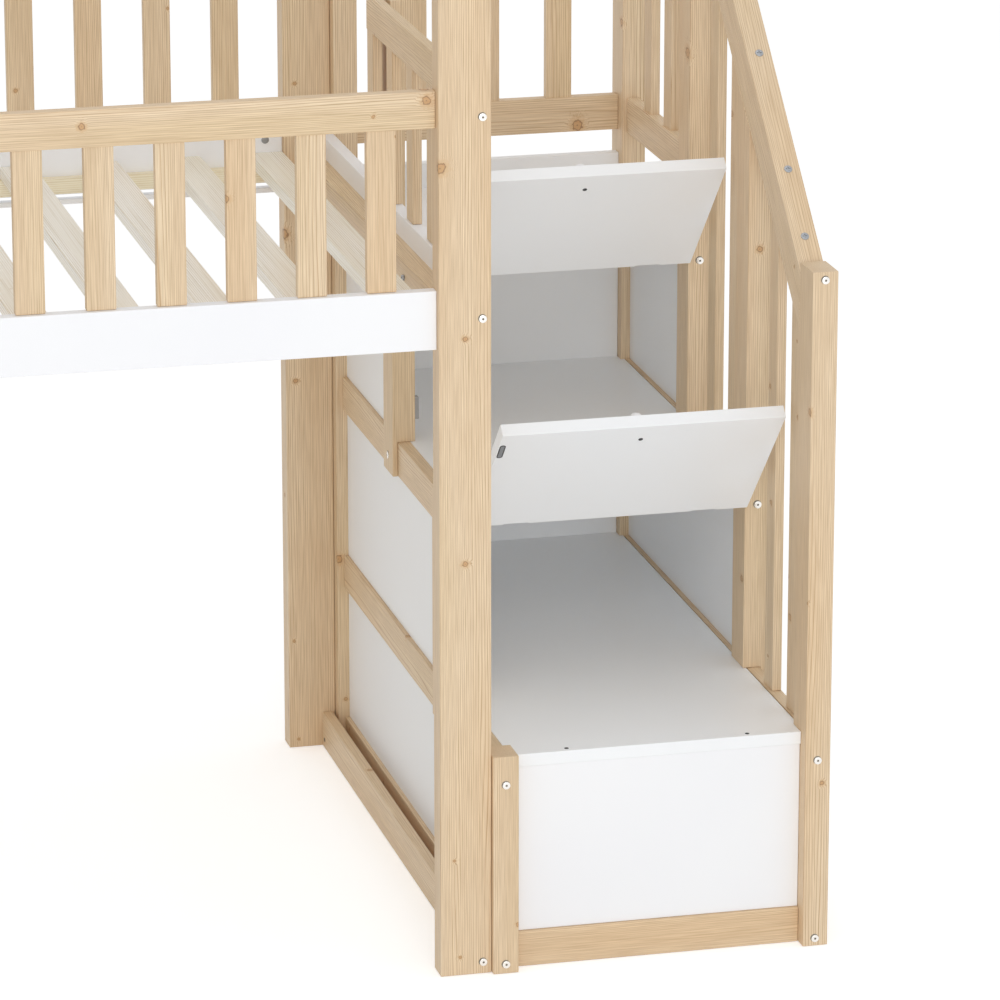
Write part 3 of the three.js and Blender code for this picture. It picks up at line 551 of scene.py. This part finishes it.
knobScrew = {"radius": 3.0 * mm, "height": 0.5 * mm, "crown": 0.2 * mm,
             "recess": 1.9 * mm, "depth": 0.4 * mm, "middle": 221.7 * mm, "fromEdge": 32.3 * mm}


def recessRadius(angle, kind, size):
    if kind == "hexagon":
        return size / math.cos((angle + math.pi / 6) % (math.pi / 3) - math.pi / 6)
    c, s = abs(math.cos(angle)) + tiny, abs(math.sin(angle)) + tiny
    arm = size * math.tan(head["crossArm"])
    belly = 1 + head["swellShare"] * math.cos(4 * angle)  # the arms' ends and sides swell a little
    return max(min(size / c, arm / s), min(size / s, arm / c)) * belly


def fastenerHead(size, kind):
    shape = bmesh.new()
    bmesh.ops.create_cone(shape, cap_ends=True, segments=head["steps"], radius1=size["radius"],
                          radius2=size["radius"], depth=size["height"])
    bmesh.ops.translate(shape, vec=(0, 0, size["height"] / 2), verts=shape.verts)
    top = max(shape.faces, key=lambda face: face.calc_center_median().z)
    bmesh.ops.bevel(shape, geom=list(top.edges), offset=size["crown"], offset_type="OFFSET",
                    segments=head["crownSteps"], profile=0.5, affect="EDGES", clamp_overlap=True, material=-1)
    top = max(shape.faces, key=lambda face: (face.calc_center_median().z, face.calc_area()))
    bmesh.ops.inset_region(shape, faces=[top], thickness=size["radius"] * head["insetShare"],
                           use_even_offset=True)
    for vert in top.verts:
        angle = math.atan2(vert.co.y, vert.co.x)
        reach = recessRadius(angle, kind, size["recess"])
        vert.co.x, vert.co.y = reach * math.cos(angle), reach * math.sin(angle)
    floor = bmesh.ops.extrude_discrete_faces(shape, faces=[top])["faces"]
    bmesh.ops.translate(shape, vec=(0, 0, -size["depth"]), verts=floor[0].verts)
    return shape


def placeShape(shape, matrix):
    bmesh.ops.transform(shape, matrix=matrix, verts=shape.verts)
    return shape


def joinShapes(shapes):
    whole = bmesh.new()
    for shape in shapes:
        loose = bpy.data.meshes.new("loose")
        shape.to_mesh(loose)
        shape.free()
        whole.from_mesh(loose)
        bpy.data.meshes.remove(loose)
    return whole


def facing(direction):
    return Vector(direction).to_track_quat("Z", "Y").to_matrix().to_4x4()


# A turned knob whose foot is on the door's outer face; its head is a flattened ball
knob = {"middle": 221.3 * mm, "fromEdge": 32 * mm, "foot": 0.3 * mm, "stemRadius": 4.5 * mm, "stem": 6.4 * mm,
        "waistShare": 0.84, "headRadius": 8.2 * mm, "head": 14 * mm, "headFrom": math.radians(-52),
        "headTurn": math.radians(142), "steps": 48, "headSteps": 9, "smoothBelow": 40}


def turnedKnob():
    middle = knob["stem"] + knob["head"] / 2
    profile = [(0, knob["foot"]), (knob["stemRadius"], knob["foot"]),
               (knob["stemRadius"] * knob["waistShare"], knob["stem"] / 2),
               (knob["stemRadius"], knob["stem"])]
    for step in range(1, knob["headSteps"] + 1):
        turn = knob["headFrom"] + knob["headTurn"] * step / knob["headSteps"]
        profile.append((knob["headRadius"] * math.cos(turn), middle + knob["head"] / 2 * math.sin(turn)))
    shape = bmesh.new()
    verts = [shape.verts.new((r, 0, h)) for r, h in profile]
    edges = [shape.edges.new(pair) for pair in zip(verts, verts[1:])]
    bmesh.ops.spin(shape, geom=[*verts, *edges], cent=(0, 0, 0), axis=(0, 0, 1), angle=2 * math.pi,
                   steps=knob["steps"], use_merge=True)
    bmesh.ops.remove_doubles(shape, verts=shape.verts, dist=tiny)
    bmesh.ops.recalc_face_normals(shape, faces=shape.faces)
    return shape


# The door's half of each hinge lies in its notch.
leaf = {"thickness": 0.9 * mm, "arris": 0.2 * mm,
        "endGap": 0.5 * mm, "outerGap": 0.3 * mm, "innerGap": 2 * mm}


def hingeLeaves():
    shape = bmesh.new()
    half = flap["notchLength"] / 2 - leaf["endGap"]
    under = -flap["rise"] - flap["notchDepth"]
    inner = flap["proud"] + flap["thickness"] - leaf["innerGap"]
    for centre in flap["hingeCentres"]:
        addBox(shape, Vector((centre - half, flap["proud"] + leaf["outerGap"], under)),
               Vector((centre + half, inner, under + leaf["thickness"])))
    easeArrises(shape, leaf["arris"])
    return shape


for level in ("lower", "upper"):
    title = level.capitalize()
    body = "flap_" + level
    place = doorPlace(level)
    foot = -flap["rise"] - flap["height"]
    inner = flap["proud"] + flap["thickness"]
    addPiece("flapDoor" + title, placeShape(flapPanel(), place), [laminateBoard], body,
             ["flap_door_" + level])
    spot = Matrix.Translation((knob["middle"], flap["proud"], foot + knob["fromEdge"])) @ facing((0, -1, 0))
    addPiece("flapKnob" + title, placeShape(turnedKnob(), place @ spot), [paintedBoard], body,
             ["flap_knob_" + level], smoothBelow=knob["smoothBelow"])
    width, length, rim = catchPlate["width"], catchPlate["length"], catchPlate["rim"]
    spot = Matrix.Translation((catchPlate["middle"], inner, foot + catchPlate["fromEdge"] + length / 2))
    plate = ovalPlate(width, length, catchPlate["rimHeight"])
    addPiece("flapCatchRim" + title, placeShape(plate, place @ spot), [rimPlastic], body)
    plate = ovalPlate(width - 2 * rim, length - 2 * rim, catchPlate["steelHeight"])
    addPiece("flapCatchPlate" + title, placeShape(plate, place @ spot), [zincPlate], body)
    spot = Matrix.Translation((knobScrew["middle"], inner, foot + knobScrew["fromEdge"])) @ facing((0, 1, 0))
    screw = fastenerHead(knobScrew, "cross")
    addPiece("flapKnobScrew" + title, placeShape(screw, place @ spot), [blackSteel], body)
    addPiece("flapHingeLeaves" + title, placeShape(hingeLeaves(), place), [nickelPlate], body)

# The frame's half of each hinge
hinge = {"arris": 0.25 * mm}
for level in ("lower", "upper"):
    for side in ("left", "right"):
        dressNode(f"flap_hinge_{level}_{side}", [nickelPlate], hinge["arris"])

# Magnetic catches inside the left stiles, behind the closed doors' catch plates
catch = {"width": 9.5 * mm, "depth": 12 * mm, "height": 30 * mm, "behind": 0.5 * mm, "stileInner": 33.6 * mm,
         "arris": 0.8 * mm}
for level, (axisY, axisZ) in flapAxes.items():
    y = axisY + flap["proud"] + flap["thickness"] + catch["behind"]
    z = axisZ - flap["rise"] - flap["height"] + catchPlate["fromEdge"] + catchPlate["length"] / 2
    low = corner + Vector((catch["stileInner"], y, z - catch["height"] / 2))
    shape = bmesh.new()
    addBox(shape, low, low + Vector((catch["width"], catch["depth"], catch["height"])))
    easeArrises(shape, catch["arris"])
    # The catch's grey is painted shade of the compartment it sits in
    addPiece("doorCatch" + level.capitalize(), shape, [catchShadedNylon], "frame")
print("flap doors made")

# Fasteners: a place is how far right, back and up of the corner a head stands, and the way it faces.
toFront, toRear, toLeft, toRight = (0, -1, 0), (0, 1, 0), (-1, 0, 0), (1, 0, 0)
bedBolts = {"fromEnd": 10.5 * mm, "heights": (1110 * mm, 857 * mm, 15 * mm)}
bedColumns = (-bedBolts["fromEnd"], leftEnd + bedBolts["fromEnd"])
stairBolts = {
    "front": -8 * mm, "shortPost": 17.4 * mm, "shortPostHeights": (252 * mm, 12 * mm),
    "newel": 425.5 * mm, "newelHeights": (880.6 * mm, 251 * mm, 9.8 * mm),
    "stiles": ((426.5 * mm, 276.7 * mm, 508 * mm), (425.2 * mm, 556.8 * mm, 767.3 * mm)),
    "rearHeights": (12 * mm, 258 * mm, 517 * mm, 775 * mm, 890 * mm, 1362 * mm),
    "leftSide": ((2.6 * mm, 584.5 * mm, 518.7 * mm), (2.6 * mm, 304.4 * mm, 260.4 * mm)),
}
frontBolts = [(stairBolts["shortPost"], stairBolts["front"], z) for z in stairBolts["shortPostHeights"]]
frontBolts += [(stairBolts["newel"], stairBolts["front"], z) for z in stairBolts["newelHeights"]]
boltPlaces = {
    "boltsBedFront": [((x, 0, z), toFront) for x in bedColumns for z in bedBolts["heights"]],
    "boltsBedRear": [((x, bedRear, z), toRear) for x in bedColumns for z in bedBolts["heights"]],
    "boltsStairFront": [(place, toFront) for place in (*frontBolts, *stairBolts["stiles"])],
    "boltsStairRear": [((x, bedRear, z), toRear) for x in (stairBolts["shortPost"], stairBolts["newel"])
                       for z in stairBolts["rearHeights"]],
    "boltsStairLeft": [(place, toLeft) for place in stairBolts["leftSide"]],
}


def addFasteners(name, kind, size, places, material):
    heads = []
    for place, direction in places:
        spot = Matrix.Translation(corner + Vector(place)) @ facing(direction)
        heads.append(placeShape(fastenerHead(size, kind), spot))
    addPiece(name, joinShapes(heads), [material], "frame", smoothBelow=head["smoothBelow"])


for name, places in boltPlaces.items():
    addFasteners(name, "hexagon", bolt, places, nickelPlate)

# Each bolt hangs a little low in its bore; a thin dark disc behind the head, set off by the sag, is painted
# shade of the bore and shows as a crescent round the head.
borePaintedShades = []
for place, direction in [place for places in boltPlaces.values() for place in places]:
    rim = bmesh.new()
    bmesh.ops.create_cone(rim, cap_ends=True, segments=head["steps"], radius1=bolt["bore"],
                          radius2=bolt["bore"], depth=bolt["boreFilm"])
    bmesh.ops.translate(rim, vec=(0, 0, bolt["boreFilm"] / 2), verts=rim.verts)
    middle = corner + Vector(place) + Vector((-bolt["sag"] * abs(direction[1]), 0, bolt["sag"]))
    borePaintedShades.append(placeShape(rim, Matrix.Translation(middle) @ facing(direction)))
addPiece("boltBorePaintedShade", joinShapes(borePaintedShades), [boreShade], "frame")

screws = {
    "handrailX": 426 * mm, "handrailPlaces": (84.9 * mm, 161.2 * mm, 295.4 * mm),
    "treadPlaces": ((102.7 * mm, 21 * mm, 284.7 * mm), (339.9 * mm, 21 * mm, 284.7 * mm)),
    "dowelFromEnd": 90 * mm, "rearBoardInner": 923.8 * mm, "rearDowels": (879 * mm, 836 * mm),
    "frontBoardInner": 27.2 * mm, "frontDowels": (879 * mm,),
    "floorRailPlaces": ((-18.6 * mm, 902.5 * mm, 12.6 * mm), (-18.6 * mm, 48 * mm, 12.6 * mm)),
}
upFromRail = (0, -math.sin(stairSlope), math.cos(stairSlope))
dowelColumns = (-screws["dowelFromEnd"], leftEnd + screws["dowelFromEnd"])
ledgerFaces = ((-endLedger["inner"], toLeft), (leftEnd + endLedger["inner"], toRight))
addFasteners("handrailScrews", "cross", crossScrew,
             [((screws["handrailX"], y, handrailTop(y)), upFromRail) for y in screws["handrailPlaces"]],
             zincPlate)
addFasteners("treadScrews", "cross", darkScrew, [(place, (0, 0, 1)) for place in screws["treadPlaces"]],
             blackSteel)
addFasteners("dowelNutsRear", "cross", crossScrew,
             [((x, screws["rearBoardInner"], z), toFront)
              for x in dowelColumns for z in screws["rearDowels"]], zincPlate)
addFasteners("dowelNutsFront", "cross", crossScrew,
             [((x, screws["frontBoardInner"], z), toRear)
              for x in dowelColumns for z in screws["frontDowels"]], zincPlate)
addFasteners("endLedgerScrews", "cross", panScrew,
             [((x, y, endLedger["screwHeight"]), direction)
              for x, direction in ledgerFaces for y in endLedger["screwPlaces"]], zincPlate)
addFasteners("railScrews", "cross", darkScrew, [(place, toLeft) for place in screws["floorRailPlaces"]],
             blackSteel)
print("fasteners made")

# Camera, as solved from the photograph's straight edges
view = {"place": Vector((-1655.548, -6680.063, 2672.263)) * mm, "yaw": 13.9858, "pitch": 16.5885,
        "focalPixels": 5804.41, "centrePixels": (497.829, 502.127), "imagePixels": 1000, "sensor": 36.0,
        "farthest": 200}
camera = bpy.data.objects.new("camera", bpy.data.cameras.new("camera"))
bpy.context.scene.collection.objects.link(camera)
camera.location = corner + view["place"]
camera.rotation_euler = (quarter - math.radians(view["pitch"]), 0, -math.radians(view["yaw"]))
camera.data.sensor_width = view["sensor"]
camera.data.lens = view["focalPixels"] / view["imagePixels"] * view["sensor"]
camera.data.shift_x = (view["imagePixels"] / 2 - view["centrePixels"][0]) / view["imagePixels"]
camera.data.shift_y = (view["centrePixels"][1] - view["imagePixels"] / 2) / view["imagePixels"]
camera.data.clip_end = view["farthest"]
bpy.context.scene.camera = camera

studio = {"sky": 0.68, "floorSize": 120.0, "floorDrop": 0.5 * mm, "floorColour": "#F2F2F2", "floorGlow": 0.40}


# What the camera and mirrors see of the room is plain white; the object is lit by a dimmer sky.
def seenBy(tree):
    path = addNode(tree, "ShaderNodeLightPath")
    seen = addNode(tree, "ShaderNodeMath",
                   {0: path.outputs["Is Camera Ray"], 1: path.outputs["Is Glossy Ray"]},
                   operation="MAXIMUM").outputs[0]
    return addNode(tree, "ShaderNodeMath", {0: seen, 1: path.outputs["Is Transmission Ray"]},
                   operation="MAXIMUM").outputs[0]


world = bpy.data.worlds.new("studio")
world.use_nodes = True
tree = world.node_tree
tree.nodes.clear()
strength = addNode(tree, "ShaderNodeMapRange",
                   {"Value": seenBy(tree), "To Min": studio["sky"], "To Max": 1.0})
sky = addNode(tree, "ShaderNodeBackground", {"Color": (1, 1, 1, 1), "Strength": strength.outputs[0]})
addNode(tree, "ShaderNodeOutputWorld", {"Surface": sky.outputs[0]})
bpy.context.scene.world = world

# The floor glows just enough to meet the white room, and keeps the bed's shadow.
floorMaterial = bpy.data.materials.new("pale studio floor")
floorMaterial.use_nodes = True
tree = floorMaterial.node_tree
tree.nodes.clear()
lit = addNode(tree, "ShaderNodeBsdfDiffuse", {"Color": linearColour(studio["floorColour"])})
glowStrength = addNode(tree, "ShaderNodeMath", {0: seenBy(tree), 1: studio["floorGlow"]},
                       operation="MULTIPLY")
glow = addNode(tree, "ShaderNodeEmission", {"Color": (1, 1, 1, 1), "Strength": glowStrength.outputs[0]})
both = addNode(tree, "ShaderNodeAddShader", {0: lit.outputs[0], 1: glow.outputs[0]})
addNode(tree, "ShaderNodeOutputMaterial", {"Surface": both.outputs[0]})
floorShape = bmesh.new()
bmesh.ops.create_grid(floorShape, x_segments=1, y_segments=1, size=studio["floorSize"] / 2)
floorMesh = bpy.data.meshes.new("studioFloor")
floorShape.to_mesh(floorMesh)
floorShape.free()
floorMesh.materials.append(floorMaterial)
floor = bpy.data.objects.new("studioFloor", floorMesh)
floor.location.z = -studio["floorDrop"]
bpy.context.scene.collection.objects.link(floor)

softboxes = {
    "keySoftbox": {"at": (0.1, -3.7, 2.5), "aim": (0.8, 0.3, 0.7), "size": (1.8, 1.4), "watts": 26},
    "lowSoftbox": {"at": (0.6, -4.3, 1.1), "aim": (1.0, 0.6, 0.5), "size": (2.4, 1.0), "watts": 33},
    "topSoftbox": {"at": (0.6, 0.2, 5.6), "aim": (0.6, 0.4, 0.0), "size": (4.0, 3.2), "watts": 20},
}
for name, softbox in softboxes.items():
    lamp = bpy.data.lights.new(name, "AREA")
    lamp.shape = "RECTANGLE"
    lamp.size, lamp.size_y = softbox["size"]
    lamp.energy = softbox["watts"]
    light = bpy.data.objects.new(name, lamp)
    light.visible_camera = False
    light.location = softbox["at"]
    towards = Vector(softbox["aim"]) - Vector(softbox["at"])
    light.rotation_euler = towards.to_track_quat("-Z", "Y").to_euler()
    bpy.context.scene.collection.objects.link(light)

bpy.context.scene.view_settings.view_transform = "Standard"
bpy.context.scene.cycles.diffuse_bounces = 12  # light reaches the back of the compartments in many bounces
print("camera and light set")
